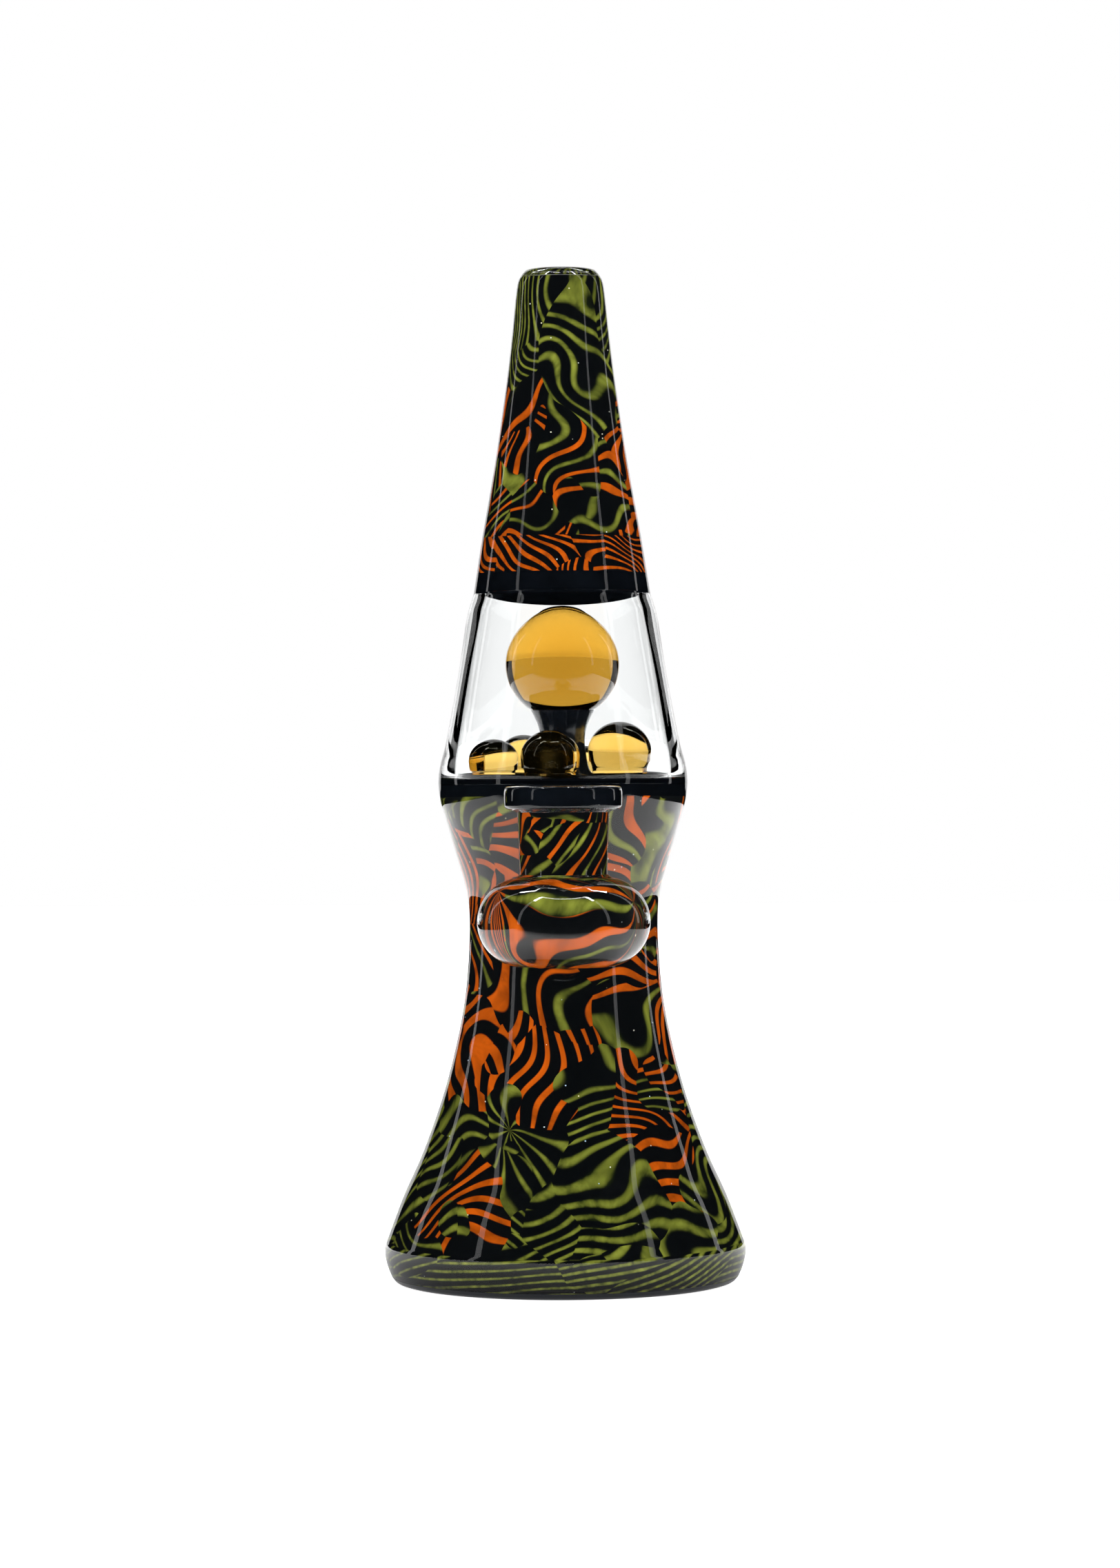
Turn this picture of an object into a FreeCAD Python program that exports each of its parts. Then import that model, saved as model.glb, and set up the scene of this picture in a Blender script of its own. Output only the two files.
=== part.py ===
"""A hand-blown glass water pipe in the shape of a lava lamp.

Frame: the origin is the centre of the flat the foot stands on, +Z is up, and the side
port looks towards -Y. Everything is in millimetres.

The shell is clear casing glass over an opaque patterned lining. The clear window between
the cone and the body holds amber "lava" blobs. The side port is a short neck with a
ground joint, which stands on a squashed bubble. Inside, a bridge tube and a downstem take
the air from the bubble to the water at the bottom of the body.
"""
import FreeCAD, Part
import Sketcher
import math
import os
import re

SIZES = {
    # walls shared by the whole shell
    "casing_wall": 2.4,
    "lining_wall": 1.3,
    # body, measured from the table; a "drop" is measured down from the top of the body
    "body_height": 110.8,
    "body_top_radius": 27.8,
    "top_belly": 0.35,
    "shoulder_high_step": 1.7,
    "shoulder_high_drop": 8.0,
    "shoulder_low_swell": 1.8,
    "shoulder_low_drop": 19.8,
    "tuck_belly": -0.55,
    "waist_radius": 21.0,
    "waist_drop": 33.5,
    "flare_belly": -2.35,
    "skirt_swell": 10.7,
    "skirt_height": 28.9,
    "skirt_belly": 0.3,
    "foot_radius": 40.3,
    "foot_corner_height": 8.5,
    "foot_belly": 1.25,
    "rest_radius": 36.5,
    # where one sheet of patterned glass meets the next, and the floors
    "shoulder_sheet_drop": 38.8,
    "skirt_sheet_height": 46.0,
    "shoulder_band_height": 2.5,
    "base_rim_height": 1.5,
    "base_thickness": 4.0,
    # window
    "window_height": 42.5,
    "window_hip_step": 1.6,
    "window_hip_height": 8.1,
    "window_hip_belly": 0.5,
    "window_neck_swell": 1.8,
    "window_neck_drop": 6.7,
    "window_neck_belly": 0.3,
    "window_base_wall": 3.4,
    "window_foot_fillet": 3.0,
    "throat_wall": 2.5,
    "throat_height": 3.5,
    "throat_step_height": 10.0,
    "throat_step": 2.2,
    # cone
    "neck_radius": 19.7,
    "cone_height": 72.1,
    "cone_belly": -0.7,
    "mouth_radius": 9.85,
    "lip_drop": 4.4,
    "lip_belly": 0.8,
    "lip_crest_inset": 2.65,
    "lip_thickness": 2.2,
    "neck_band_height": 4.2,
    "chevron_sheet_height": 7.9,
    "swirl_sheet_height": 44.6,
    # black floor under the cone
    "dome_depth": 3.1,
    "dome_edge_depth": 0.7,
    "dome_belly": 0.35,
    "dome_hole_radius": 2.0,
    "dome_hole_reach": 10.0,
    # lava
    "ball_radius": 12.7,
    "ball_gap": 0.1,
    "stem_flare_radius": 7.0,
    "stem_waist_radius": 4.9,
    "stem_waist_height": 9.7,
    "stem_belly": -0.8,
    "stem_seat_radius": 7.6,
    "stem_seat_depth": 10.0,
    "left_dome_radius": 5.5,
    "left_dome_base": 5.0,
    "left_dome_height": 9.5,
    "left_dome_gap": 3.3,
    "left_dome_angle": 191.2,
    "front_dome_radius": 6.4,
    "front_dome_base": 5.6,
    "front_dome_height": 11.6,
    "front_dome_gap": 4.6,
    "front_dome_angle": 258.3,
    "back_dome_radius": 6.0,
    "back_dome_base": 5.2,
    "back_dome_height": 10.4,
    "back_dome_gap": 4.5,
    "back_dome_angle": 130.6,
    "middle_dome_radius": 3.75,
    "middle_dome_base": 3.4,
    "middle_dome_height": 7.1,
    "middle_dome_gap": 8.5,
    "middle_dome_angle": 65.6,
    "right_dome_radius": 7.1,
    "right_dome_base": 5.0,
    "right_dome_height": 13.4,
    "right_dome_gap": 4.6,
    "right_dome_angle": 355.5,
    "air_hole_radius": 2.0,
    "air_hole_reach": 15.0,
    # side port
    "port_drop": 0.4,
    "port_gap": 2.5,
    "flange_gap": 1.5,
    "flange_radius": 12.66,
    "flange_height": 5.1,
    "flange_round": 1.2,
    "flange_under": 1.1,
    "flange_over": 0.3,
    "black_disc_radius": 8.2,
    "neck_top_radius": 9.8,
    "neck_base_radius": 9.4,
    "neck_length": 14.4,
    "neck_core_radius": 6.6,
    "socket_radius": 5.8,
    "joint_mouth_radius": 5.0,
    "joint_taper": 0.05,
    "bubble_radius": 18.5,
    "bubble_height": 19.1,
    "bubble_core_radius": 11.7,
    "bubble_core_height": 13.0,
    "bubble_cavity_radius": 10.2,
    "bubble_cavity_height": 10.0,
    # air path inside
    "bridge_radius": 4.2,
    "bridge_bore_radius": 2.7,
    "bridge_reach_into_bubble": 9.5,
    "bridge_reach_into_body": 0.6,
    "collar_radius": 7.5,
    "collar_bite": 4.0,
    "elbow_radius": 10.0,
    "downstem_gap": 6.0,
    "slit_width": 1.2,
    "slit_height": 10.0,
    "slit_edge": 2.0,
}

# Heights, radii and reaches that follow from the sizes above.
PLACES = {
    "neck_z": "body_height + window_height",
    "top_z": "neck_z + cone_height",
    "lip_z": "top_z - lip_drop",
    "lining_top_z": "top_z - lip_thickness",
    "waist_z": "body_height - waist_drop",
    "shoulder_low_z": "body_height - shoulder_low_drop",
    "shoulder_high_z": "body_height - shoulder_high_drop",
    "shoulder_low_radius": "waist_radius + shoulder_low_swell",
    "shoulder_high_radius": "body_top_radius - shoulder_high_step",
    "skirt_radius": "waist_radius + skirt_swell",
    "band_z": "body_height - shoulder_band_height",
    "shoulder_sheet_z": "body_height - shoulder_sheet_drop",
    "window_hip_z": "body_height + window_hip_height",
    "window_hip_radius": "body_top_radius - window_hip_step",
    "window_neck_z": "neck_z - window_neck_drop",
    "window_neck_radius": "neck_radius + window_neck_swell",
    "window_inner_radius": "body_top_radius - window_base_wall",
    "throat_radius": "neck_radius - throat_wall",
    "throat_z": "neck_z - throat_height",
    "throat_step_z": "neck_z - throat_step_height",
    "dome_bottom_z": "neck_z - dome_depth",
    "ball_z": "dome_bottom_z - ball_gap - ball_radius",
    "neck_band_z": "neck_z + neck_band_height",
    "chevron_z": "neck_band_z + chevron_sheet_height",
    "swirl_z": "chevron_z + swirl_sheet_height",
    "bubble_reach": "waist_radius + port_gap + bubble_radius",
    "flange_reach": "body_top_radius + flange_gap + flange_radius",
    "port_reach": "max(bubble_reach; flange_reach)",
    "port_z": "body_height - port_drop",
    "flange_z": "port_z - flange_height",
    "bubble_top_z": "flange_z - neck_length",
    "bubble_z": "bubble_top_z - bubble_height / 2",
    "socket_bottom_radius": "joint_mouth_radius - joint_taper * (flange_height + neck_length)",
    "bridge_front": "port_reach - bridge_reach_into_bubble",
    "bridge_back": "waist_radius - casing_wall - lining_wall - bridge_reach_into_body",
    "downstem_z": "base_thickness + downstem_gap",
    "beyond": "2 * (foot_radius + port_reach)",
}

# A quarter circle stands this share of its radius outside its chord, level with the middle.
QUARTER = math.sqrt(3) / 2 - 1 / 2
BLOBS = ("left", "front", "back", "middle", "right")
DOME_HOLES = 4
SLIT_PAIRS = 3
FULL_TURN = 360
VERTICAL_AXIS = -2
HORIZONTAL_AXIS = -1
START, END, CENTRE = 1, 2, 3
SAME_POINT = 1e-6

doc = FreeCAD.newDocument("GlassPipe")
sheet = doc.addObject("Spreadsheet::Sheet", "Sizes")
NODES = {}


def fill_sheet():
    """Write every driving size to its own named cell."""
    for row, (alias, size) in enumerate(SIZES.items(), start=1):
        sheet.set(f"A{row}", alias)
        sheet.set(f"B{row}", str(size))
        sheet.setAlias(f"B{row}", alias)
    doc.recompute()


def formula(words):
    """Turn a formula in size and place names into one that FreeCAD reads."""
    def swap(match):
        name = match.group()
        if name in PLACES:
            return "(" + formula(PLACES[name]) + ")"
        return "Sizes." + name
    return re.sub(r"\b[a-z][a-z_]*\b(?!\()", swap, words)


def value(words):
    """The number that a formula gives now."""
    return float(sheet.evalExpression(formula(words)))


def bind(thing, prop, words):
    """Tie one property to a formula."""
    thing.setExpression(prop, formula(words))


def place(thing, x="0", y="0", z="0"):
    """Tie where a thing stands to formulas."""
    thing.Placement = FreeCAD.Placement(FreeCAD.Vector(value(x), value(y), value(z)), thing.Placement.Rotation)
    for axis, words in (("x", x), ("y", y), ("z", z)):
        bind(thing, f".Placement.Base.{axis}", words)


def node(thing, name):
    """Keep a finished thing as the piece with this name."""
    thing.Label = name
    NODES[name] = thing
    return thing


def origin_plane(body, role):
    return next(plane for plane in body.Origin.OriginFeatures if plane.Role == role)


def new_sketch(body, name, role):
    sketch = body.newObject("Sketcher::SketchObject", name)
    sketch.AttachmentSupport = [(origin_plane(body, role), "")]
    sketch.MapMode = "FlatFace"
    return sketch


def pin(sketch, geometry, point, across, up):
    """Hold one sketch point at a place given by two formulas."""
    for kind, axis, words in (("DistanceX", VERTICAL_AXIS, across), ("DistanceY", HORIZONTAL_AXIS, up)):
        if words == "0":
            sketch.addConstraint(Sketcher.Constraint("PointOnObject", geometry, point, axis))
            continue
        index = sketch.addConstraint(Sketcher.Constraint(kind, geometry, point, value(words)))
        sketch.setExpression(f"Constraints[{index}]", formula(words))


def draw(sketch, outline, closed=True, last_belly=None):
    """Draw lines and arcs through an outline's points.

    A step of two formulas is a straight run to that point. A step of three is an arc, and
    its first formula says how far the arc stands outside the middle of its chord. A closed
    outline ends with a run back to its start, which is an arc when it has a belly.
    """
    steps = list(outline[1:])
    if closed:
        steps.append((last_belly, *outline[0]) if last_belly else outline[0])
    here = outline[0]
    runs = []
    for step in steps:
        belly, there = (step[0], step[1:]) if len(step) > 2 else (None, step)
        begin = FreeCAD.Vector(value(here[0]), value(here[1]), 0)
        finish = FreeCAD.Vector(value(there[0]), value(there[1]), 0)
        if belly is None:
            run = sketch.addGeometry(Part.LineSegment(begin, finish))
        else:
            across = f"(({here[0]}) + ({there[0]})) / 2 + ({belly})"
            up = f"(({here[1]}) + ({there[1]})) / 2"
            middle = FreeCAD.Vector(value(across), value(up), 0)
            run = sketch.addGeometry(Part.Arc(begin, middle, finish))
            crest = sketch.addGeometry(Part.Point(middle), True)
            pin(sketch, crest, START, across, up)
            sketch.addConstraint(Sketcher.Constraint("PointOnObject", crest, START, run))
        first_is_begin = sketch.getPoint(run, START).distanceToPoint(begin) < SAME_POINT
        ends = (START, END) if first_is_begin else (END, START)
        pin(sketch, run, ends[1], *there)
        runs.append((run, ends))
        here = there
    for (run, ends), (following, following_ends) in zip(runs, runs[1:]):
        sketch.addConstraint(Sketcher.Constraint("Coincident", run, ends[1], following, following_ends[0]))
    first, first_ends = runs[0]
    if closed:
        last, last_ends = runs[-1]
        sketch.addConstraint(Sketcher.Constraint("Coincident", last, last_ends[1], first, first_ends[0]))
    else:
        pin(sketch, first, first_ends[0], *outline[0])


def turned(name, outline, last_belly=None):
    """A body turned about the upright axis from half of its section."""
    body = doc.addObject("PartDesign::Body", name)
    sketch = new_sketch(body, name + "_section", "XZ_Plane")
    draw(sketch, outline, last_belly=last_belly)
    turn = body.newObject("PartDesign::Revolution", name + "_turn")
    turn.Profile = sketch
    turn.ReferenceAxis = (sketch, ["V_Axis"])
    turn.Angle = FULL_TURN
    body.Tip = turn
    return body


def combined(kind, name, base, tool):
    """Cut, Common or Fuse of two things."""
    result = doc.addObject("Part::" + kind, name)
    result.Base = base
    result.Tool = tool
    return result


def round_bar(name, radius, length, turn=None, **where):
    """A plain round bar, upright unless it is turned."""
    bar = doc.addObject("Part::Cylinder", name)
    bind(bar, "Radius", radius)
    bind(bar, "Height", length)
    if turn:
        bar.Placement = FreeCAD.Placement(FreeCAD.Vector(), turn)
    place(bar, **where)
    return bar


def sliced(name, thing, low, high):
    """The part of a thing between two heights."""
    slab = round_bar(name + "_slab", "beyond", f"({high}) - ({low})", z=low)
    return node(combined("Common", name, thing, slab), name)


def body_outline(inset):
    """Half section of the body, with every radius drawn in by an inset."""
    return [
        ("0", "0"),
        (f"rest_radius - {inset}", "0"),
        ("foot_belly", f"foot_radius - {inset}", "foot_corner_height"),
        ("skirt_belly", f"skirt_radius - {inset}", "skirt_height"),
        ("flare_belly", f"waist_radius - {inset}", "waist_z"),
        ("tuck_belly", f"shoulder_low_radius - {inset}", "shoulder_low_z"),
        (f"shoulder_high_radius - {inset}", "shoulder_high_z"),
        ("top_belly", f"body_top_radius - {inset}", "body_height"),
        ("0", "body_height"),
    ]


def cone_outline(inset, crown):
    """Half section of the cone drawn in by an inset, closed by its own crown."""
    return [
        ("0", "neck_z"),
        (f"neck_radius - {inset}", "neck_z"),
        ("cone_belly", f"mouth_radius - {inset}", "lip_z"),
        *crown,
    ]


def pill_outline(radius, height, throat, throat_top):
    """Half section of a squashed bubble round the port axis, with a throat on top."""
    half = f"{height} / 2"
    side = f"{QUARTER} * {half}"
    flat = f"{radius} - {half}"
    return [
        ("0", f"bubble_z - {half}"),
        (flat, f"bubble_z - {half}"),
        (side, radius, "bubble_z"),
        (side, flat, f"bubble_z + {half}"),
        (throat, f"bubble_z + {half}"),
        (throat, throat_top),
        ("0", throat_top),
    ]


def at_port(thing):
    place(thing, y="-port_reach")
    return thing


def build_bridge():
    """Bars that give the bridge tube's outside, its bore and its weld collar."""
    along_y = FreeCAD.Rotation(FreeCAD.Vector(1, 0, 0), -90)
    outside = round_bar("bridge_bar", "bridge_radius", "bridge_front - bridge_back", along_y,
                        y="-bridge_front", z="bubble_z")
    bore = round_bar("bridge_bore", "bridge_bore_radius", "bridge_front - bridge_back", along_y,
                     y="-bridge_front", z="bubble_z")
    collar_front = "port_reach - bubble_radius + collar_bite"
    collar_back = "waist_radius - collar_bite"
    weld = round_bar("collar_bar", "collar_radius", f"{collar_front} - ({collar_back})", along_y,
                     y=f"-({collar_front})", z="bubble_z")
    node(combined("Cut", "bridge_tube", outside, bore), "bridge_tube")
    return outside, weld


def build_body(bridge):
    """Casing, patterned lining and floors of the body; returns the solid outside."""
    outside = turned("body_outside", body_outline("0"))
    middle = turned("body_middle", body_outline("casing_wall"))
    inside = turned("body_inside", body_outline("(casing_wall + lining_wall)"))
    casing = combined("Cut", "body_casing_shell", outside, middle)
    lining = combined("Cut", "body_lining_shell", middle, inside)
    open_casing = combined("Cut", "body_casing_holed", casing, bridge)
    open_lining = combined("Cut", "body_lining_holed", lining, bridge)
    sliced("foot_clear_ring", casing, "base_rim_height", "foot_corner_height")
    sliced("foot_colour", lining, "base_rim_height", "foot_corner_height")
    sliced("body_clear_casing", open_casing, "foot_corner_height", "body_height")
    sliced("skirt_colour", lining, "foot_corner_height", "skirt_sheet_height")
    sliced("waist_colour", lining, "skirt_sheet_height", "shoulder_sheet_z")
    sliced("shoulder_colour", open_lining, "shoulder_sheet_z", "band_z")
    sliced("shoulder_black_band", lining, "band_z", "body_height")
    build_base_plate(outside, inside)
    build_window_floor(inside)
    return outside


def build_base_plate(outside, inside):
    """Flat black plate that closes the foot and stands on the table."""
    rim_slab = round_bar("base_rim_slab", "beyond", "base_rim_height")
    plug_slab = round_bar("base_plug_slab", "beyond", "base_thickness - base_rim_height", z="base_rim_height")
    rim = combined("Common", "base_rim", outside, rim_slab)
    plug = combined("Common", "base_plug", inside, plug_slab)
    plate = combined("Fuse", "base_plate", rim, plug)
    plate.Refine = True
    node(plate, "base_plate")


def drilled(name, thing, radius, reach, angles):
    """Upright holes through a thing, each at its own angle."""
    for number, angle in enumerate(angles, start=1):
        drill = round_bar(f"{name}_drill_{number}", radius, "beyond",
                          x=f"({reach}) * cos({angle})", y=f"({reach}) * sin({angle})")
        thing = combined("Cut", f"{name}_{number}", thing, drill)
    return node(thing, name)


def build_window_floor(inside):
    """Black floor under the lava, with air holes between the blobs."""
    slab = round_bar("window_floor_slab", "beyond", "shoulder_band_height", z="band_z")
    disc = combined("Common", "window_floor_disc", inside, slab)
    between = (
        "(left_dome_angle + front_dome_angle) / 2",
        "(front_dome_angle + right_dome_angle) / 2",
        f"(right_dome_angle - {FULL_TURN} + middle_dome_angle) / 2",
    )
    drilled("window_floor", disc, "air_hole_radius", "air_hole_reach", between)


def build_window():
    """Thick clear tube of the window, stepped in at the top to hold the black dome."""
    node(turned("window_tube", [
        ("window_inner_radius - window_foot_fillet", "body_height"),
        ("body_top_radius", "body_height"),
        ("window_hip_belly", "window_hip_radius", "window_hip_z"),
        ("window_neck_radius", "window_neck_z"),
        ("window_neck_belly", "neck_radius", "neck_z"),
        ("throat_radius", "neck_z"),
        ("throat_radius", "throat_z"),
        ("throat_radius + throat_step", "throat_step_z"),
        ("window_inner_radius", "body_height + window_foot_fillet"),
    ], f"{QUARTER} * window_foot_fillet"), "window_tube")


def build_cone():
    """Casing, linings and black band of the cone."""
    outside = turned("cone_outside", cone_outline("0", [
        ("lip_belly", "mouth_radius - lip_crest_inset", "top_z"),
        ("0", "top_z"),
    ]))
    middle = turned("cone_middle", cone_outline("casing_wall", [
        ("mouth_radius - casing_wall", "lining_top_z"),
        ("0", "lining_top_z"),
    ]))
    inset = "(casing_wall + lining_wall)"
    inside = turned("cone_inside", cone_outline(inset, [
        (f"mouth_radius - {inset}", "top_z"),
        ("0", "top_z"),
    ]))
    shell = combined("Cut", "cone_shell", outside, middle)
    node(combined("Cut", "cone_clear_casing", shell, inside), "cone_clear_casing")
    lining = combined("Cut", "cone_lining_shell", middle, inside)
    sliced("cone_black_band", lining, "neck_z", "neck_band_z")
    sliced("cone_colour_bottom", lining, "neck_band_z", "chevron_z")
    sliced("cone_colour_middle", lining, "chevron_z", "swirl_z")
    sliced("cone_colour_top", lining, "swirl_z", "lining_top_z")


def build_dome_floor():
    """Black floor that bulges down under the cone, with air holes round its middle."""
    disc = turned("dome_disc", [
        ("0", "dome_bottom_z"),
        ("dome_belly", "throat_radius", "neck_z - dome_edge_depth"),
        ("throat_radius", "neck_z"),
        ("0", "neck_z"),
    ])
    angles = [f"{(hole + 1 / 2) * FULL_TURN / DOME_HOLES}" for hole in range(DOME_HOLES)]
    drilled("dome_floor", disc, "dome_hole_radius", "dome_hole_reach", angles)


def build_lava():
    """Ball on its stem, and five blobs that stand round it."""
    ball = turned("lava_ball", [
        ("0", "ball_z - ball_radius"),
        (f"{QUARTER} * ball_radius", "ball_radius", "ball_z"),
        (f"{QUARTER} * ball_radius", "0", "ball_z + ball_radius"),
    ])
    node(ball, "lava_ball")
    stem = turned("stem_blank", [
        ("0", "body_height"),
        ("stem_flare_radius", "body_height"),
        ("stem_belly", "stem_waist_radius", "body_height + stem_waist_height"),
        ("stem_belly", "stem_seat_radius", "ball_z - stem_seat_depth"),
        ("0", "ball_z - stem_seat_depth"),
    ])
    node(combined("Cut", "lava_stem", stem, ball), "lava_stem")
    for side in BLOBS:
        radius, base, tall = (f"{side}_dome_{size}" for size in ("radius", "base", "height"))
        blob = turned(f"lava_blob_{side}", [
            ("0", "0"),
            (base, "0"),
            (radius, f"{tall} - {radius}"),
            (f"{QUARTER} * {radius}", "0", tall),
        ])
        reach = f"(window_inner_radius - {side}_dome_gap - {radius})"
        angle = f"{side}_dome_angle"
        place(blob, x=f"{reach} * cos({angle})", y=f"{reach} * sin({angle})", z="body_height")
        node(blob, f"lava_blob_{side}")


def build_port(bridge):
    """Flange, neck, ground joint and bubble; returns the bubble's solid outside."""
    outside = at_port(turned("bubble_outside", pill_outline(
        "bubble_radius", "bubble_height", "neck_base_radius", "bubble_top_z")[:4]
        + [("0", "bubble_top_z")]))
    core = at_port(turned("bubble_core", pill_outline(
        "bubble_core_radius", "bubble_core_height", "neck_core_radius", "bubble_top_z")))
    cavity = at_port(turned("bubble_cavity", pill_outline(
        "bubble_cavity_radius", "bubble_cavity_height", "socket_bottom_radius", "bubble_top_z")))
    casing = combined("Cut", "bubble_casing_shell", outside, core)
    lining = combined("Cut", "bubble_lining_shell", core, cavity)
    node(combined("Cut", "bubble_clear_casing", casing, bridge), "bubble_clear_casing")
    node(combined("Cut", "bubble_colour", lining, bridge), "bubble_colour")
    node(at_port(turned("neck_clear_casing", [
        ("neck_core_radius", "bubble_top_z"),
        ("neck_base_radius", "bubble_top_z"),
        ("neck_top_radius", "flange_z"),
        ("neck_core_radius", "flange_z"),
    ])), "neck_clear_casing")
    node(at_port(turned("neck_colour", [
        ("socket_radius", "bubble_top_z"),
        ("neck_core_radius", "bubble_top_z"),
        ("neck_core_radius", "flange_z"),
        ("socket_radius", "flange_z"),
    ])), "neck_colour")
    node(at_port(turned("ground_joint_socket", [
        ("socket_bottom_radius", "bubble_top_z"),
        ("socket_radius", "bubble_top_z"),
        ("socket_radius", "port_z"),
        ("joint_mouth_radius", "port_z"),
    ])), "ground_joint_socket")
    build_flange()
    return outside


def build_flange():
    """Clear rim of the port's mouth, folded round a black disc."""
    disc_low = "flange_z + flange_under"
    disc_high = "port_z - flange_over"
    node(at_port(turned("flange_black_disc", [
        ("socket_radius", disc_low),
        ("black_disc_radius", disc_low),
        ("black_disc_radius", disc_high),
        ("socket_radius", disc_high),
    ])), "flange_black_disc")
    corner = f"{QUARTER} * flange_round"
    node(at_port(turned("flange_clear_rim", [
        ("socket_radius", "flange_z"),
        ("flange_radius - flange_round", "flange_z"),
        (corner, "flange_radius", "flange_z + flange_round"),
        ("flange_radius", "port_z - flange_round"),
        (corner, "flange_radius - flange_round", "port_z"),
        ("socket_radius", "port_z"),
        ("socket_radius", disc_high),
        ("black_disc_radius", disc_high),
        ("black_disc_radius", disc_low),
        ("socket_radius", disc_low),
    ])), "flange_clear_rim")


def build_collar(weld, bridge, body_outside, bubble_outside):
    """Bead of clear glass that joins the bubble to the body round the bridge tube."""
    ring = combined("Cut", "collar_ring", weld, bridge)
    against_body = combined("Cut", "collar_on_body", ring, body_outside)
    node(combined("Cut", "bridge_collar", against_body, bubble_outside), "bridge_collar")


def build_downstem():
    """Bent tube from the bridge down to the water, with slits that break up the bubbles."""
    body = doc.addObject("PartDesign::Body", "downstem")
    path = new_sketch(body, "downstem_path", "YZ_Plane")
    draw(path, [
        ("0", "downstem_z"),
        ("0", "bubble_z - elbow_radius"),
        (f"{QUARTER} * elbow_radius", "-elbow_radius", "bubble_z"),
        ("-bridge_back", "bubble_z"),
    ], closed=False)
    ring = new_sketch(body, "downstem_ring", "XY_Plane")
    ring.AttachmentOffset = FreeCAD.Placement(FreeCAD.Vector(0, 0, value("downstem_z")), FreeCAD.Rotation())
    bind(ring, ".AttachmentOffset.Base.z", "downstem_z")
    for radius in ("bridge_radius", "bridge_bore_radius"):
        circle = ring.addGeometry(Part.Circle(FreeCAD.Vector(), FreeCAD.Vector(0, 0, 1), value(radius)))
        ring.addConstraint(Sketcher.Constraint("Coincident", circle, CENTRE, HORIZONTAL_AXIS, START))
        index = ring.addConstraint(Sketcher.Constraint("Radius", circle, value(radius)))
        ring.setExpression(f"Constraints[{index}]", formula(radius))
    doc.recompute()
    pipe = body.newObject("PartDesign::AdditivePipe", "downstem_pipe")
    pipe.Profile = ring
    pipe.Spine = (path, [])
    body.Tip = pipe
    doc.recompute()
    whole = body.Shape.Volume
    cut_slits(body)
    if not body.Shape.Volume < whole:
        raise RuntimeError("the slits cut nothing")
    node(body, "downstem")


def cut_slits(body):
    """Slits through both walls of the downstem, repeated round it."""
    slot = new_sketch(body, "slit_outline", "XZ_Plane")
    low = "downstem_z + slit_edge"
    high = "downstem_z + slit_edge + slit_height"
    draw(slot, [
        ("-slit_width / 2", low),
        ("slit_width / 2", low),
        ("slit_width / 2", high),
        ("-slit_width / 2", high),
    ])
    pocket = body.newObject("PartDesign::Pocket", "slit")
    pocket.Profile = slot
    pocket.Midplane = True
    bind(pocket, "Length", "beyond")
    body.Tip = pocket
    doc.recompute()
    pattern = body.newObject("PartDesign::PolarPattern", "slits")
    pattern.Originals = [pocket]
    pattern.Axis = (slot, ["V_Axis"])
    pattern.Angle = FULL_TURN
    pattern.Occurrences = SLIT_PAIRS
    body.Tip = pattern
    doc.recompute()


def check_document():
    """Stop if any object failed or any piece isn't one sound solid."""
    for thing in doc.Objects:
        if "Invalid" in thing.State or "Error" in thing.State:
            raise RuntimeError(f"{thing.Name} failed: {thing.State}")
    for name, thing in NODES.items():
        shape = thing.Shape
        if shape.isNull() or not shape.isValid() or len(shape.Solids) != 1:
            raise RuntimeError(f"{name} isn't one sound solid: {len(shape.Solids)}")


def write_parts():
    os.makedirs("parts", exist_ok=True)
    for name, thing in NODES.items():
        thing.Shape.Solids[0].exportStep(f"parts/{name}.step")


fill_sheet()
bridge, weld = build_bridge()
body_outside = build_body(bridge)
build_window()
build_cone()
build_dome_floor()
build_lava()
bubble_outside = build_port(bridge)
build_collar(weld, bridge, body_outside, bubble_outside)
build_downstem()
doc.recompute()
check_document()
write_parts()
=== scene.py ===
"""Looks of a hand-blown glass water pipe in the shape of a lava lamp."""
import math
import bpy
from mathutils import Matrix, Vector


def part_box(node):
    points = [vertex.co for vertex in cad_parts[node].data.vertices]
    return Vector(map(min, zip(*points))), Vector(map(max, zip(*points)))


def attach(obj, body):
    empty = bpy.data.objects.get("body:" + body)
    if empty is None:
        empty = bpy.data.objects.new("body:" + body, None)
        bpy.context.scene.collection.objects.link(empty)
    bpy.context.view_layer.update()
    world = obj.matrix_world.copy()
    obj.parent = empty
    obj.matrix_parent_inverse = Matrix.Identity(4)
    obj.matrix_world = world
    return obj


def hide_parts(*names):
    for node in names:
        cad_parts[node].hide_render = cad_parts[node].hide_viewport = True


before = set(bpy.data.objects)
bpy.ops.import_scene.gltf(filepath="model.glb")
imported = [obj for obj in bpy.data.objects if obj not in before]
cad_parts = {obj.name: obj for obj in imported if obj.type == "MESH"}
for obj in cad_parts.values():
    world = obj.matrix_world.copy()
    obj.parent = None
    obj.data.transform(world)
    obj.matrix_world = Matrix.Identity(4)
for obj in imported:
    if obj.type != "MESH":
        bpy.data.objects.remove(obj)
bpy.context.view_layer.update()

MM = 0.001
SINK = 0.1 * MM             # how far one fused glass piece runs into the next, so that no air shows
SKIN = 0.3 * MM             # how far the clear casing runs into the opaque glass under it
SEGMENTS = 144              # flats round a turned piece
WELD = 0.002 * MM           # points of a turned piece nearer than this are one
EDGE_ANGLE = 35             # degrees between two faces past which their edge shows

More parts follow.
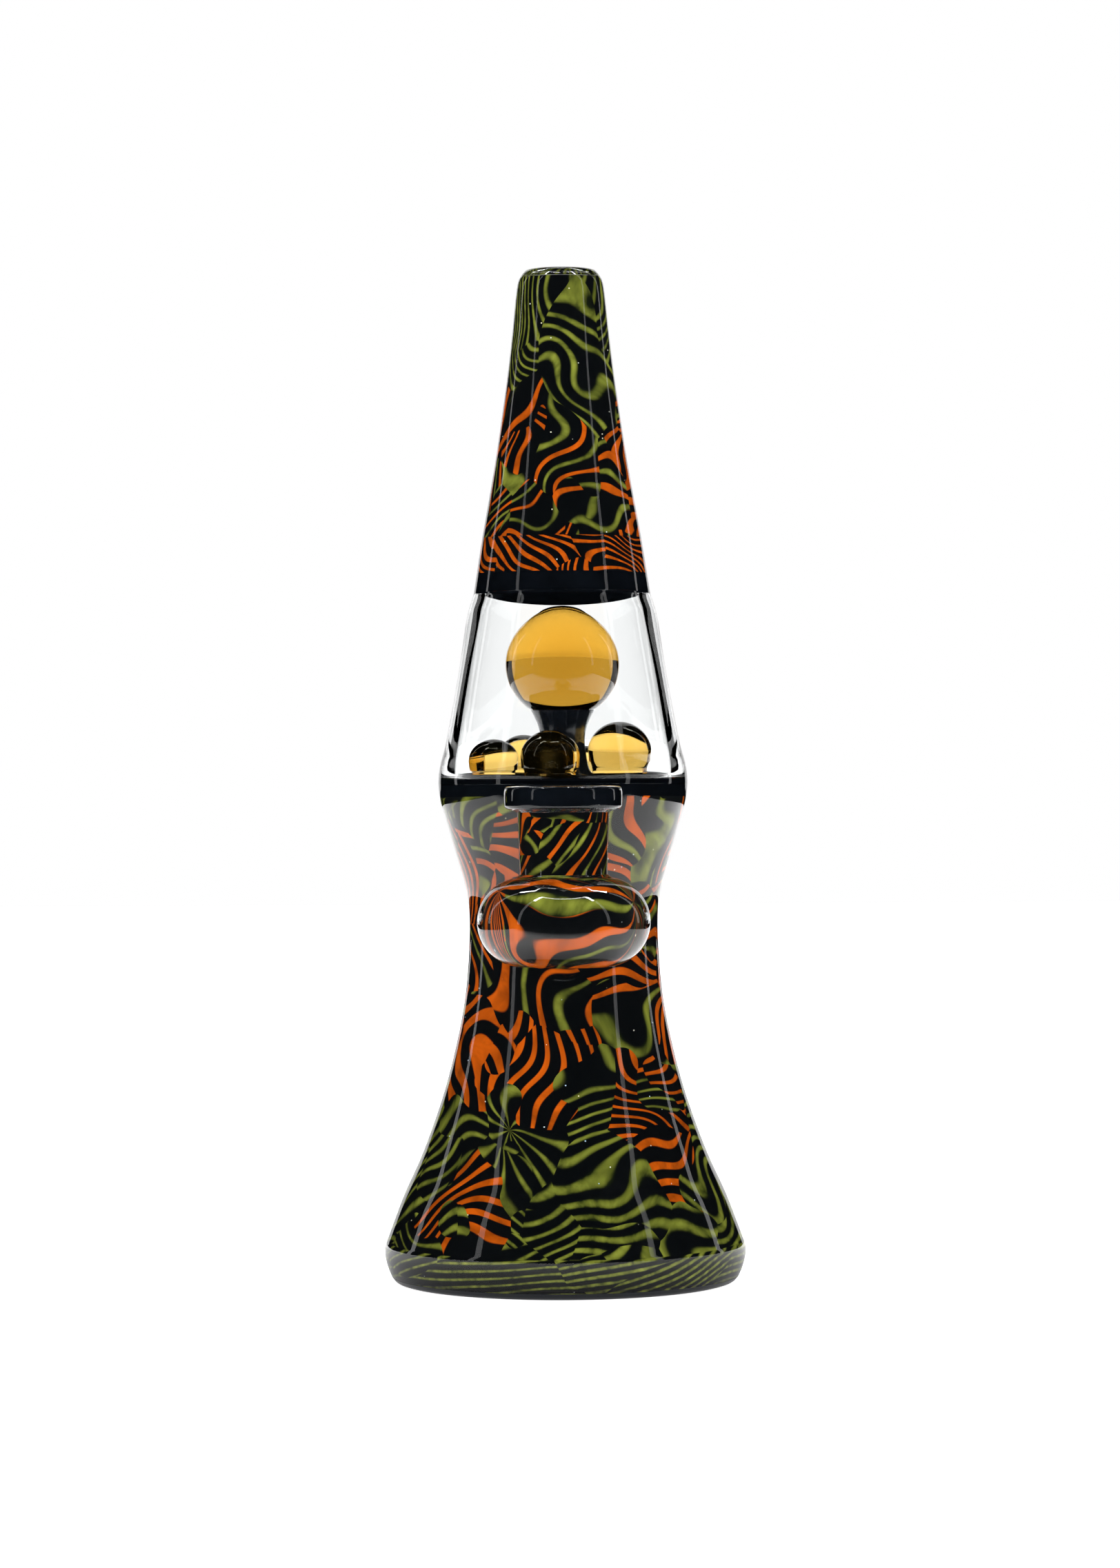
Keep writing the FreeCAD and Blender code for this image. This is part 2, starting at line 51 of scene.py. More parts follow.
IOR_BOROSILICATE = 1.47
POLISH = 0.5                # gloss of black glass that is open to the air
HOT_WAVES = 45.0            # waves per metre left in the casing by shaping: one in 22 mm
BLACK_CLOUDS = 160.0        # clouds per metre in black glass: one in 6 mm
GRIT = 4000.0               # grains per metre of ground glass: a quarter of a millimetre

DRAG_GAIN = 4               # noise keeps to about a quarter either side of its middle
CUT_BEND = 0.8              # waviness of a patch's edges: its length and reach, as shares of the patch
CUT_SWAY = 0.28
SPOKES = 10                 # lines round a pinwheel
SPOKE_TWIST = 1.7           # spacings further out, after which a spoke has turned on by one
SWELL_PACE = 0.7            # swells for each bend of the drag
SWELL_MIDDLE = 0.57         # more makes thinner lines
SWELL_REACH = 2.6           # more makes lines swell and pinch more
STREAK_PACE = 0.9           # streaks for each line
OLIVE_DEPTH = 0.22          # how much brighter olive is at the middle of a line, where it is thick
OLIVE_DARKER = 0.12
RIBS = 18                   # lines round the bubble under the port
DRIP_REACH = 12 * MM        # how far black glass ran down over the shoulder
DRIP_WIDTH = 9 * MM
PAINTED_GLINT_SPACING = 3.4 * MM     # between the painted glints: bright points of highlight painted into the lining's colour
PAINTED_GLINT_SIZE = 0.045           # of a painted glint, as a share of their spacing

TABLE_EDGE_Y = -0.24        # the light on the table ends here, towards the viewer
TABLE_FULL_Y = -0.16        # and from here on it is at its full strength
TABLE_HALF_WIDTH = 0.42


def low(node):
    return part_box(node)[0]


def high(node):
    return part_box(node)[1]


# ---------------------------------------------------------------- places read from the frame

TOP = high("cone_clear_casing").z
NECK = low("cone_clear_casing").z
NECK_R = high("cone_clear_casing").x
BODY_TOP = high("body_clear_casing").z
BODY_TOP_R = high("window_tube").x
FOOT_R = high("body_clear_casing").x
BAND_LOW = low("shoulder_black_band").z
CASING = NECK_R - high("cone_black_band").x
LINING = high("shoulder_black_band").x - high("window_floor").x
PORT_Y = (low("flange_clear_rim").y + high("flange_clear_rim").y) / 2
BUBBLE_Z = (low("bubble_clear_casing").z + high("bubble_clear_casing").z) / 2


# ---------------------------------------------------------------- shapes

def smooth(stations, step=1.2 * MM):
    """Points of a Catmull-Rom curve, which passes through each (radius, height) station."""
    ends = [stations[0], *stations, stations[-1]]
    curve = []
    for before, here, there, after in zip(ends, ends[1:], ends[2:], ends[3:]):
        pieces = max(2, round(math.dist(here, there) / step))
        for piece in range(pieces):
            t = piece / pieces
            curve.append(tuple(
                (2 * h + (n - b) * t + (2 * b - 5 * h + 4 * n - a) * t ** 2
                 + (3 * h - 3 * n + a - b) * t ** 3) / 2
                for b, h, n, a in zip(before, here, there, after)))
    return curve + [stations[-1]]


def shifted(outline, inwards):
    """The same outline, moved in towards the axis, square to its own direction."""
    moved = []
    for index, (radius, height) in enumerate(outline):
        r0, z0 = outline[max(index - 1, 0)]
        r1, z1 = outline[min(index + 1, len(outline) - 1)]
        length = math.dist((r0, z0), (r1, z1))
        moved.append((radius - inwards * (z1 - z0) / length, height + inwards * (r1 - r0) / length))
    return moved


def clipped(outline, bottom, top):
    """The stretch of a rising outline between two heights, with its cut ends."""
    kept = [(r, z) for r, z in outline if bottom < z < top]
    return [(radius_at(outline, bottom), bottom), *kept, (radius_at(outline, top), top)]


def radius_at(outline, height):
    for (r0, z0), (r1, z1) in zip(outline, outline[1:]):
        if z0 <= height <= z1:
            return r0 + (r1 - r0) * (height - z0) / max(z1 - z0, 1e-9)
    return outline[-1][0] if height > outline[-1][1] else outline[0][0]


def turn(name, outline, y=0.0, x=0.0):
    """Turn a piece on the lathe: draw half of its section, point by point, and spin it."""
    bpy.ops.object.select_all(action="DESELECT")
    r0, z0 = outline[0]
    bpy.ops.mesh.primitive_plane_add(size=MM, location=(x + r0, y, z0))
    piece = bpy.context.object
    piece.name = name
    piece.data.name = name
    bpy.ops.object.mode_set(mode="EDIT")
    bpy.ops.mesh.select_all(action="SELECT")
    bpy.ops.mesh.merge(type="CENTER")
    for (r0, z0), (r1, z1) in zip(outline, outline[1:]):
        bpy.ops.mesh.extrude_region_move(TRANSFORM_OT_translate={"value": (r1 - r0, 0, z1 - z0)})
    bpy.ops.mesh.select_all(action="SELECT")
    bpy.ops.mesh.spin(steps=SEGMENTS, angle=math.tau, center=(x, y, 0), axis=(0, 0, 1))
    bpy.ops.mesh.select_all(action="SELECT")
    bpy.ops.mesh.remove_doubles(threshold=WELD)
    bpy.ops.mesh.normals_make_consistent(inside=False)
    bpy.ops.object.mode_set(mode="OBJECT")
    bpy.ops.object.transform_apply(location=True, rotation=True, scale=True)
    bpy.ops.object.shade_smooth_by_angle(angle=math.radians(EDGE_ANGLE))
    return piece


def finish_piece(piece, material, slot, *nodes):
    """Give a piece its material, hang it from the root body and hide the frame's parts it takes the place
    of.
    """
    piece.data.materials.clear()
    piece.data.materials.append(material)
    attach(piece, "root")
    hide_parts(*nodes)
    return piece


# ---------------------------------------------------------------- materials

def srgb(code):
    """Linear colour of an sRGB hex value."""
    parts = [int(code[i:i + 2], 16) / 255 for i in (1, 3, 5)]
    linear = [p / 12.92 if p <= 0.04045 else ((p + 0.055) / 1.055) ** 2.4 for p in parts]
    return (*linear, 1.0)


def put(tree, kind, *sources, **settings):
    """Add a node and set it up.

    kind is the node's kind, with its operation after a colon. The sources fill its inputs in turn,
    or by name where they come in a dict. Each is a value, a socket, or a node for its first socket.
    """
    kind, *operation = kind.split(":")
    node = tree.nodes.new("ShaderNode" + kind)
    if operation:
        node.operation = operation[0]
    for key, setting in settings.items():
        setattr(node, key, setting)
    named = sources[0] if sources and isinstance(sources[0], dict) else dict(enumerate(sources))
    for key, source in named.items():
        if isinstance(source, bpy.types.Node):
            source = source.outputs[0]
        if isinstance(source, bpy.types.NodeSocket):
            tree.links.new(source, node.inputs[key])
        else:
            node.inputs[key].default_value = source
    return node


def new_material(name):
    material = bpy.data.materials.new(name)
    material.use_nodes = True
    material.node_tree.nodes.clear()
    return material, material.node_tree


def output(tree, surface, volume=None):
    links = {"Surface": surface}
    if volume:
        links["Volume"] = volume
    put(tree, "OutputMaterial", links)


def lamplit(tree, glass):
    """Let lamps shine through glass, as they do through a thin clear wall."""
    path = put(tree, "LightPath")
    clear = put(tree, "BsdfTransparent")
    both = put(tree, "MixShader", {0: path.outputs["Is Shadow Ray"], 1: glass, 2: clear.outputs[0]})
    return both.outputs[0]


def clear_glass():
    """Borosilicate glass, worked in a flame: glossy, with the faint waviness of hot shaping."""
    material, tree = new_material("flame_worked_borosilicate")
    place = put(tree, "TexCoord")
    wave = put(tree, "TexNoise", {
        "Vector": place.outputs["Object"], "Scale": HOT_WAVES, "Detail": 1.0, "Roughness": 0.3})
    bump = put(tree, "Bump", {"Height": wave.outputs["Fac"], "Strength": 0.006, "Distance": 0.4 * MM})
    glass = put(tree, "BsdfPrincipled", {
        "Base Color": srgb("#FDFEFE"), "Roughness": 0.0, "IOR": IOR_BOROSILICATE,
        "Transmission Weight": 1.0, "Normal": bump.outputs["Normal"]})
    output(tree, lamplit(tree, glass.outputs[0]))
    return material


def black_glass(name, polish):
    """Opaque black rod glass: near black with a cold blue cast.

    Fused under clear glass it has no surface of its own, so no polish; open to the air it has a wet one.
    """
    material, tree = new_material(name)
    place = put(tree, "TexCoord")
    cloud = put(tree, "TexNoise", {"Vector": place.outputs["Object"], "Scale": BLACK_CLOUDS, "Detail": 3.0})
    tone = put(tree, "ValToRGB", {"Fac": cloud.outputs["Fac"]})
    tone.color_ramp.elements[0].color = srgb("#040506")
    tone.color_ramp.elements[1].color = srgb("#0E1218")
    rough = put(tree, "MapRange", {"Value": cloud.outputs["Fac"], "To Min": 0.1, "To Max": 0.2})
    shine = put(tree, "BsdfPrincipled", {
        "Base Color": tone.outputs["Color"], "Roughness": rough.outputs["Result"],
        "Specular IOR Level": polish})
    output(tree, shine.outputs[0])
    return material


def amber_glass():
    """Solid amber rod glass: pale where it is thin and honey brown where it is thick."""
    material, tree = new_material("solid_amber_rod_glass")
    glass = put(tree, "BsdfPrincipled", {
        "Base Color": srgb("#FFE9B0"), "Roughness": 0.0, "IOR": IOR_BOROSILICATE,
        "Transmission Weight": 1.0})
    stain = put(tree, "VolumeAbsorption", {"Color": (0.817, 0.65, 0.04, 1.0), "Density": 120.0})
    output(tree, lamplit(tree, glass.outputs[0]), stain.outputs[0])
    return material


def ground_glass():
    """Ground glass: the grey bloom of fine grinding, which scatters what is behind it."""
    material, tree = new_material("ground_borosilicate")
    place = put(tree, "TexCoord")
    grit = put(tree, "TexNoise", {"Vector": place.outputs["Object"], "Scale": GRIT})
    bump = put(tree, "Bump", {"Height": grit.outputs["Fac"], "Strength": 0.3, "Distance": 0.1 * MM})
    glass = put(tree, "BsdfPrincipled", {
        "Base Color": srgb("#E8ECEC"), "Roughness": 0.45, "IOR": IOR_BOROSILICATE,
        "Transmission Weight": 0.6, "Normal": bump.outputs["Normal"]})
    output(tree, lamplit(tree, glass.outputs[0]))
    return material


def lined_glass(name, patch, line, bend, sway, zones, stretch=1.0, wheels=0.0, spots=(), axis_y=0.0,
                drip=None, spindle=None):
    """Sheets of lined colour glass, cut in patches, dragged with a hot rod and fused side by side.

    The eye sees patches of flowing lines: opaque orange with clean edges, and olive that fades
    into the black, with a few painted glints: bright points of highlight painted into the colour.

    patch is the size of one cut patch and line the spacing of its lines; stretch pulls the
    patches upright. The drag has a length of bend and a reach of sway. Each zone says, from a
    height upwards, what share of patches is orange, what share alternates orange with olive,
    which way the lines lean (1/2 is level) and how far patches differ from that. wheels is the
    share of patches whose lines run out from a centre. A spot is a place, with a reach, where
    patches are orange. axis_y is where the piece's own axis stands. drip is the height above
    which black has run down over the pattern. spindle is the height of a level axis whose two
    ends all lines run together at. All sizes are in metres.
    """
    material, tree = new_material(name)

    def drag(where, length, reach):
        noise = put(tree, "TexNoise", {"Vector": where, "Scale": 1 / length, "Detail": 0.0})
        pull = put(tree, "VectorMath:SUBTRACT", noise.outputs["Color"], (0.5, 0.5, 0.5))
        pull = put(tree, "VectorMath:SCALE", {0: pull, "Scale": DRAG_GAIN * reach})
        return put(tree, "VectorMath:ADD", where, pull)

    place = put(tree, "TexCoord").outputs["Object"]
    place = put(tree, "VectorMath:SUBTRACT", place, (0.0, axis_y, 0.0))
    upright = (1.0, 1.0, 1.0 / stretch)
    cut = drag(put(tree, "VectorMath:MULTIPLY", place, upright), CUT_BEND * patch, CUT_SWAY * patch)
    cells = put(tree, "TexVoronoi", {"Vector": cut, "Scale": 1 / patch})
    centre = put(tree, "VectorMath:DIVIDE", cells.outputs["Position"], upright)
    pick = put(tree, "SeparateColor", cells.outputs["Color"]).outputs

    height = put(tree, "SeparateXYZ", centre).outputs["Z"]
    share = put(tree, "ValToRGB", put(tree, "Math:DIVIDE", height, TOP))
    share.color_ramp.interpolation = "CONSTANT"
    stops = share.color_ramp.elements
    for index, (start, *shares) in enumerate(zones):
        stop = stops[index] if index < len(stops) else stops.new(start / TOP)
        stop.position = start / TOP
        stop.color = shares
    if len(zones) == 1:
        stops.remove(stops[1])
    shares = put(tree, "SeparateColor", share.outputs["Color"]).outputs

    flow = drag(place, bend, sway)
    away = put(tree, "VectorMath:SUBTRACT", flow, centre)
    outwards = put(tree, "VectorMath:MULTIPLY", place, (1.0, 1.0, 0.0))
    outwards = put(tree, "VectorMath:NORMALIZE", outwards)
    round_it = put(tree, "VectorMath:CROSS_PRODUCT", (0.0, 0.0, 1.0), outwards)
    side = put(tree, "VectorMath:DOT_PRODUCT", away, round_it).outputs["Value"]
    up = put(tree, "SeparateXYZ", away).outputs["Z"]
    swing = put(tree, "Math:SUBTRACT", pick["Blue"], 0.5)
    swing = put(tree, "Math:MULTIPLY", swing, share.outputs["Alpha"])
    heading = put(tree, "Math:MULTIPLY", put(tree, "Math:ADD", shares["Blue"], swing), math.pi)
    level_part = put(tree, "Math:MULTIPLY", side, put(tree, "Math:COSINE", heading))
    upright_part = put(tree, "Math:MULTIPLY", up, put(tree, "Math:SINE", heading))
    run = put(tree, "Math:DIVIDE", put(tree, "Math:ADD", level_part, upright_part), line)
    if spindle:
        flown = put(tree, "SeparateXYZ", flow).outputs
        above = put(tree, "Math:SUBTRACT", flown["Z"], spindle)
        before = put(tree, "Math:MULTIPLY", flown["Y"], -1.0)
        run = put(tree, "Math:MULTIPLY", put(tree, "Math:ARCTAN2", above, before), RIBS / math.tau)
    spoke = put(tree, "Math:MULTIPLY", put(tree, "Math:ARCTAN2", up, side), SPOKES / math.tau)
    distance = put(tree, "VectorMath:LENGTH", away).outputs["Value"]
    spoke = put(tree, "Math:ADD", spoke, put(tree, "Math:DIVIDE", distance, SPOKE_TWIST * line))
    is_wheel = put(tree, "Math:LESS_THAN", pick["Green"], wheels)
    phase = put(tree, "Mix", {"Factor": is_wheel, "A": run, "B": spoke})

    wave = put(tree, "Math:SINE", put(tree, "Math:MULTIPLY", phase, math.tau))
    swell = put(tree, "TexNoise", {"Vector": place, "Scale": SWELL_PACE / bend, "Detail": 1.0})
    swell = put(tree, "Math:MULTIPLY", put(tree, "Math:SUBTRACT", swell, SWELL_MIDDLE), SWELL_REACH)
    fat = put(tree, "Math:ADD", wave, swell)
    streak = put(tree, "TexNoise", {"Vector": flow, "Scale": STREAK_PACE / line, "Detail": 3.0})
    even = put(tree, "Math:FRACT", put(tree, "Math:MULTIPLY", phase, 0.5))
    even = put(tree, "Math:GREATER_THAN", even, 0.5)
    orange_patch = put(tree, "Math:LESS_THAN", pick["Red"], shares["Red"])
    mixed_patch = put(tree, "Math:SUBTRACT", pick["Red"], shares["Red"])
    mixed_patch = put(tree, "Math:LESS_THAN", mixed_patch, shares["Green"])
    warm = put(tree, "Math:MAXIMUM", orange_patch, put(tree, "Math:MULTIPLY", mixed_patch, even))
    for where, reach in spots:
        gap = put(tree, "VectorMath:DISTANCE", centre, where).outputs["Value"]
        warm = put(tree, "Math:MAXIMUM", warm, put(tree, "Math:LESS_THAN", gap, reach))

    thick = put(tree, "Math:MULTIPLY", wave, OLIVE_DEPTH)
    cloudy = put(tree, "Math:SUBTRACT", streak, OLIVE_DARKER)
    olive = put(tree, "ValToRGB", put(tree, "Math:ADD", thick, cloudy))
    flame = put(tree, "ValToRGB", streak)
    for ramp, dark, bright, full in (
            (olive, "#1A220A", "#8A9236", 0.82), (flame, "#8E3E05", "#D05C0A", 0.68)):
        ramp.color_ramp.elements[0].position = 0.3
        ramp.color_ramp.elements[1].position = full
        ramp.color_ramp.elements[0].color = srgb(dark)
        ramp.color_ramp.elements[1].color = srgb(bright)
    soft_line = put(tree, "MapRange", {"Value": fat, "From Min": -0.2, "From Max": 0.7},
                    interpolation_type="SMOOTHSTEP")
    clean_line = put(tree, "MapRange", {"Value": fat, "From Min": 0.05, "From Max": 0.4},
                     interpolation_type="SMOOTHSTEP")
    shade = put(tree, "Mix", {"Factor": warm, "A": soft_line, "B": clean_line})
    colour = put(tree, "Mix", {"Factor": warm, 6: olive, 7: flame}, data_type="RGBA").outputs[2]
    if drip:
        lobes = put(tree, "TexNoise", {"Vector": place, "Scale": 1 / DRIP_WIDTH, "Detail": 1.0})
        lobes = put(tree, "Math:MULTIPLY", put(tree, "Math:SUBTRACT", lobes, 0.5), DRIP_REACH)
        edge = put(tree, "Math:ADD", put(tree, "SeparateXYZ", place).outputs["Z"], lobes)
        shade = put(tree, "Math:MULTIPLY", shade, put(tree, "Math:LESS_THAN", edge, drip))
    black = srgb("#06080A")
    body = put(tree, "Mix", {"Factor": shade, 6: black, 7: colour}, data_type="RGBA").outputs[2]

    # painted glints: near-white pale blue and pale gold points of highlight painted into the base colour
    painted_glint_cells = put(tree, "TexVoronoi", {"Vector": place, "Scale": 1 / PAINTED_GLINT_SPACING})
    painted_glint_mask = put(tree, "Math:LESS_THAN", painted_glint_cells, PAINTED_GLINT_SIZE)
    painted_glint_colour = put(tree, "ValToRGB", put(tree, "SeparateColor", painted_glint_cells.outputs["Color"]).outputs["Green"])
    painted_glint_colour.color_ramp.elements[0].color = srgb("#BFE0FF")
    painted_glint_colour.color_ramp.elements[1].color = srgb("#FFF0B8")
    body = put(tree, "Mix", {"Factor": painted_glint_mask, 6: body, 7: painted_glint_colour}, data_type="RGBA").outputs[2]
    shine = put(tree, "BsdfPrincipled", {
        "Base Color": body, "Roughness": 0.35, "Specular IOR Level": 0.05})
    output(tree, shine)
    return material


# ---------------------------------------------------------------- pieces

BODY = smooth([(r * MM, z * MM) for r, z in (
    (40.3, 8.5), (38.2, 14.0), (35.9, 19.7), (31.7, 28.9), (27.3, 41.0), (24.3, 52.0), (22.0, 64.0),
    (21.0, 77.3), (21.5, 86.0), (23.5, 93.5), (26.1, 102.8), (27.4, 107.4), (27.8, 110.8))])
FOOT = smooth([(r * MM, z * MM) for r, z in (
    (36.5, 0.0), (38.0, 0.6), (39.2, 2.6), (40.1, 5.6), (40.3, 8.5))], 0.5 * MM)
WINDOW_OUT = smooth([(r * MM, z * MM) for r, z in (
    (27.8, 110.8), (27.7, 113.0), (27.2, 115.8), (26.2, 119.5), (24.5, 128.2), (22.9, 137.4),
    (21.5, 146.6), (20.8, 149.8), (19.7, 153.3))])
WINDOW_IN = smooth([(r * MM, z * MM) for r, z in (
    (22.6, 110.7), (23.7, 111.2), (24.2, 112.4), (24.1, 115.0), (23.5, 119.0), (22.6, 124.5),
    (21.3, 132.5), (20.1, 139.5), (19.4, 143.3), (18.7, 146.8), (18.0, 149.8), (17.2, 152.5),
    (17.2, 153.3))], 0.6 * MM)
CONE = smooth([(r * MM, z * MM) for r, z in (
    (19.7, 153.3), (17.85, 165.1), (16.2, 174.3), (14.6, 183.5), (13.2, 192.8), (11.9, 202.0),
    (10.8, 211.2), (9.95, 219.5), (9.3, 223.2), (7.9, 225.2))])
PLATE_RIM = 1.5 * MM        # thickness of the base plate where it shows, under the foot
SLEEVE = 0.8 * MM           # wall of the colour in the port's neck


def lining_piece(name, outside, bottom, top, material, slot):
    """One opaque sheet of the lining: a turned shell as thick as the frame's."""
    outer = clipped(shifted(outside, CASING), bottom, top)
    inner = clipped(shifted(outside, CASING + LINING), bottom, top)
    shell = turn(name, [*outer, *reversed(inner), outer[0]])
    return finish_piece(shell, material, slot, name)


def build_body(glass, black, polished, pattern, foot):
    whole = FOOT[:-1] + BODY
    core = shifted(whole, CASING + SKIN)
    inner = [(r, z) for r, z in core if PLATE_RIM + SINK < z < BODY_TOP - 2 * SINK]
    bottom = (inner[0][0], PLATE_RIM)
    rising = [(radius_at(whole, PLATE_RIM), PLATE_RIM)]
    rising += [(r, z) for r, z in whole if z > PLATE_RIM + SINK]
    casing = turn("body_casing", [*rising, (inner[-1][0], BODY_TOP), *reversed(inner), bottom, rising[0]])
    finish_piece(casing, glass, "clear_glass", "body_clear_casing", "foot_clear_ring")
    for sheet, colour, slot in (
            ("shoulder_colour", pattern, "orange_olive_swirl"),
            ("waist_colour", pattern, "orange_olive_swirl"),
            ("skirt_colour", pattern, "olive_black_swirl"),
            ("foot_colour", foot, "olive_black_swirl")):
        lining_piece(sheet, whole, low(sheet).z, high(sheet).z, colour, slot)
    lining_piece("shoulder_black_band", whole, BAND_LOW, BODY_TOP, black, "black_glass")
    rim = [(r, z) for r, z in FOOT if z < PLATE_RIM]
    plate = turn("base_plate", [
        (0, 0), *rim, (rim[-1][0] + 0.2 * MM, PLATE_RIM), (34 * MM, PLATE_RIM),
        (34 * MM, 4 * MM), (0, 4 * MM)])
    finish_piece(plate, polished, "black_glass", "base_plate")


def build_window(glass, black):
    tube = turn("window_tube", [
        *WINDOW_OUT, *reversed(WINDOW_IN), (WINDOW_IN[0][0], BODY_TOP - SINK),
        (BODY_TOP_R, BODY_TOP - SINK / 2), WINDOW_OUT[0]])
    finish_piece(tube, glass, "clear_glass", "window_tube")
    radius = high("window_floor").x
    floor = turn("window_floor", [(0, BAND_LOW), (radius, BAND_LOW), (radius, BODY_TOP), (0, BODY_TOP)])
    finish_piece(floor, black, "black_glass", "window_floor")
    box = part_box("dome_floor")
    throat = box[1].x + SKIN
    bulge = smooth([
        (0, box[0].z), (throat * 0.35, box[0].z + 0.25 * MM),
        (throat * 0.7, box[0].z + 1.1 * MM), (throat, box[1].z - 0.7 * MM)])
    dome = turn("dome_floor", [*bulge, (throat, NECK + SINK), (0, NECK + SINK)])
    finish_piece(dome, black, "black_glass", "dome_floor")


def build_cone(glass, black, pattern, chevron):
    bore = CASING + LINING
    lining_top = high("cone_colour_top").z
    inner = [(r, z) for r, z in shifted(CONE, CASING + SKIN) if z < lining_top - 3 * MM]
    mouth = radius_at(shifted(CONE, bore), TOP - 6 * MM)
    lip = smooth([
        CONE[-1], (7.0 * MM, TOP), (mouth + 0.3 * MM, TOP - 0.5 * MM), (mouth, TOP - 1.6 * MM)], 0.4 * MM)
    foot = NECK + 0.02 * MM
    ledge = lining_top - 2 * SINK
    casing = turn("cone_casing", [
        (NECK_R, foot), *CONE[1:], *lip[1:], (mouth, ledge), (inner[-1][0], ledge), *reversed(inner[1:]),
        (inner[0][0], foot), (NECK_R, foot)])
    finish_piece(casing, glass, "clear_glass", "cone_clear_casing")
    lining_piece("cone_black_band", CONE, NECK, high("cone_black_band").z, black, "black_glass")
    for sheet, outside, colour, slot in (
            ("cone_colour_bottom", CONE, chevron, "orange_olive_swirl"),
            ("cone_colour_middle", CONE, pattern, "orange_olive_swirl"),
            ("cone_colour_top", CONE[:-4], pattern, "olive_black_swirl")):
        lining_piece(sheet, outside, low(sheet).z, high(sheet).z, colour, slot)


def pill(radius, half, centre, start, end, steps=14):
    """Side of a squashed bubble, from one angle below the middle to another above it."""
    ring = radius - half
    return [(ring + half * math.cos(angle), centre + half * math.sin(angle))
            for angle in (start + (end - start) * step / steps for step in range(steps + 1))]


def build_port(glass, black, ground, colour, neck_colour):
    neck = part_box("neck_clear_casing")
    neck_r = neck[1].x
    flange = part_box("flange_clear_rim")
    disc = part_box("flange_black_disc")
    disc_r = disc[1].x
    flange_r = flange[1].y - PORT_Y
    bubble_r = high("bubble_clear_casing").x
    half = (high("bubble_clear_casing").z - low("bubble_clear_casing").z) / 2
    core_r = high("bubble_colour").x
    core_half = 6.5 * MM
    throat = high("neck_colour").x
    socket = high("ground_joint_socket").x
    quarter = math.pi / 2
    outer = [
        (0, BUBBLE_Z - half), *pill(bubble_r, half, BUBBLE_Z, -quarter, quarter * 0.93, 30),
        *smooth([(neck_r + 0.7 * MM, neck[0].z - 0.1 * MM), (neck_r - 0.2 * MM, neck[0].z + 0.5 * MM),
                 (neck_r - 0.4 * MM, neck[0].z + 2 * MM), (neck_r, neck[1].z - 1.5 * MM),
                 (neck_r + 0.15 * MM, neck[1].z - 0.5 * MM), (neck_r + 1.2 * MM, neck[1].z)], 0.4 * MM),
        *smooth([(flange_r - 1.3 * MM, neck[1].z), (flange_r - 0.3 * MM, neck[1].z + 0.4 * MM),
                 (flange_r, neck[1].z + 1.4 * MM), (flange_r, flange[1].z - 1.2 * MM),
                 (flange_r - 0.3 * MM, flange[1].z - 0.3 * MM),
                 (flange_r - 1.2 * MM, flange[1].z)], 0.3 * MM),
        (socket + SINK, flange[1].z),
    ]
    hole = throat - SKIN
    inner = [
        (socket + SINK, disc[1].z - SKIN), (disc_r - SKIN, disc[1].z - SKIN),
        (disc_r - SKIN, disc[0].z + SKIN),
        (hole, disc[0].z + SKIN), (hole, BUBBLE_Z + core_half),
        *reversed(pill(core_r - SKIN, core_half - SKIN, BUBBLE_Z, -quarter, quarter * 0.75)),
        (0, BUBBLE_Z - core_half + SKIN),
    ]
    casing = turn("port_casing", [*outer, *inner], y=PORT_Y)
    finish_piece(
        casing, glass, "clear_glass", "bubble_clear_casing", "neck_clear_casing", "flange_clear_rim")
    wall = 1.3 * MM
    shell = turn("bubble_colour", [
        (0, BUBBLE_Z - core_half), *pill(core_r, core_half, BUBBLE_Z, -quarter, quarter * 0.75),
        (throat, neck[0].z), (throat - SLEEVE, neck[0].z),
        *reversed(pill(core_r - wall, core_half - wall, BUBBLE_Z, -quarter, quarter * 0.75)),
        (0, BUBBLE_Z - core_half + wall)], y=PORT_Y)
    finish_piece(shell, colour, "orange_olive_swirl", "bubble_colour")
    sleeve = turn("neck_colour", [
        (throat, neck[0].z), (throat, disc[0].z + SINK), (throat - SLEEVE, disc[0].z + SINK),
        (throat - SLEEVE, neck[0].z), (throat, neck[0].z)], y=PORT_Y)
    finish_piece(sleeve, neck_colour, "orange_olive_swirl", "neck_colour")
    puck = turn("flange_black_disc", [
        (socket, disc[0].z), (disc_r, disc[0].z), (disc_r, disc[1].z), (socket, disc[1].z),
        (socket, disc[0].z)], y=PORT_Y)
    finish_piece(puck, black, "black_glass", "flange_black_disc")
    taper = turn("ground_joint_socket", [
        (4.03 * MM, neck[0].z), (socket - 0.05 * MM, neck[0].z),
        (socket - 0.05 * MM, flange[1].z - 0.2 * MM),
        (socket - 0.25 * MM, flange[1].z), (5.2 * MM, flange[1].z), (5.0 * MM, flange[1].z - 0.2 * MM),
        (4.03 * MM, neck[0].z)], y=PORT_Y)
    finish_piece(taper, ground, "ground_glass", "ground_joint_socket")


